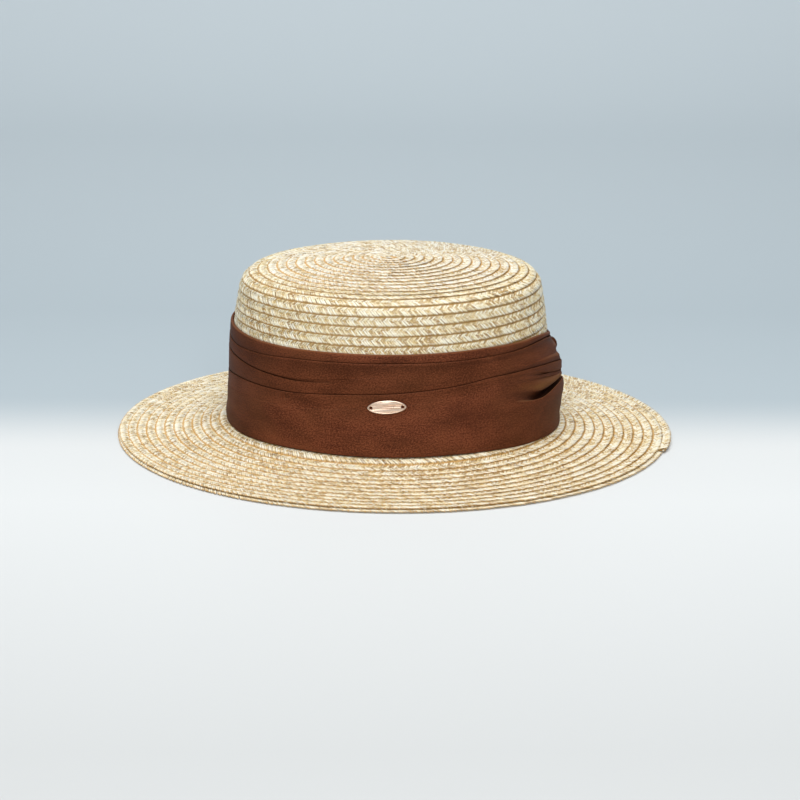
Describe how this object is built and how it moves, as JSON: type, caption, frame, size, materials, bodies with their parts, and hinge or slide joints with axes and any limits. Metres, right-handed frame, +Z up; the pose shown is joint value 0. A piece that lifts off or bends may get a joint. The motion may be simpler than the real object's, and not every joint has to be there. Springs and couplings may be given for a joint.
{
  "type": "straw boater hat",
  "caption": "Straw boater with a low domed crown, wide gently sloping brim, pleated satin band gathered at one side and a small pointed-oval metal tag.",
  "frame": {"origin": "middle of the hat's bounding box, on the plane that the brim's edge rests on", "axes": "+Z up through the crown, -Y out of the front with the tag, +X out of the side with the gather"},
  "size_m": [0.321, 0.3165, 0.1019],
  "materials": {
    "straw": "plaited natural straw, sewn in rows",
    "satin": "soft brown satin weave",
    "rose_gold": "brushed rose gold"
  },
  "bodies": {
    "root": {"crown": "straw", "brim": "straw", "hat_band": "satin", "band_gather": "satin", "tag_plate": "rose_gold"}
  },
  "joints": []
}
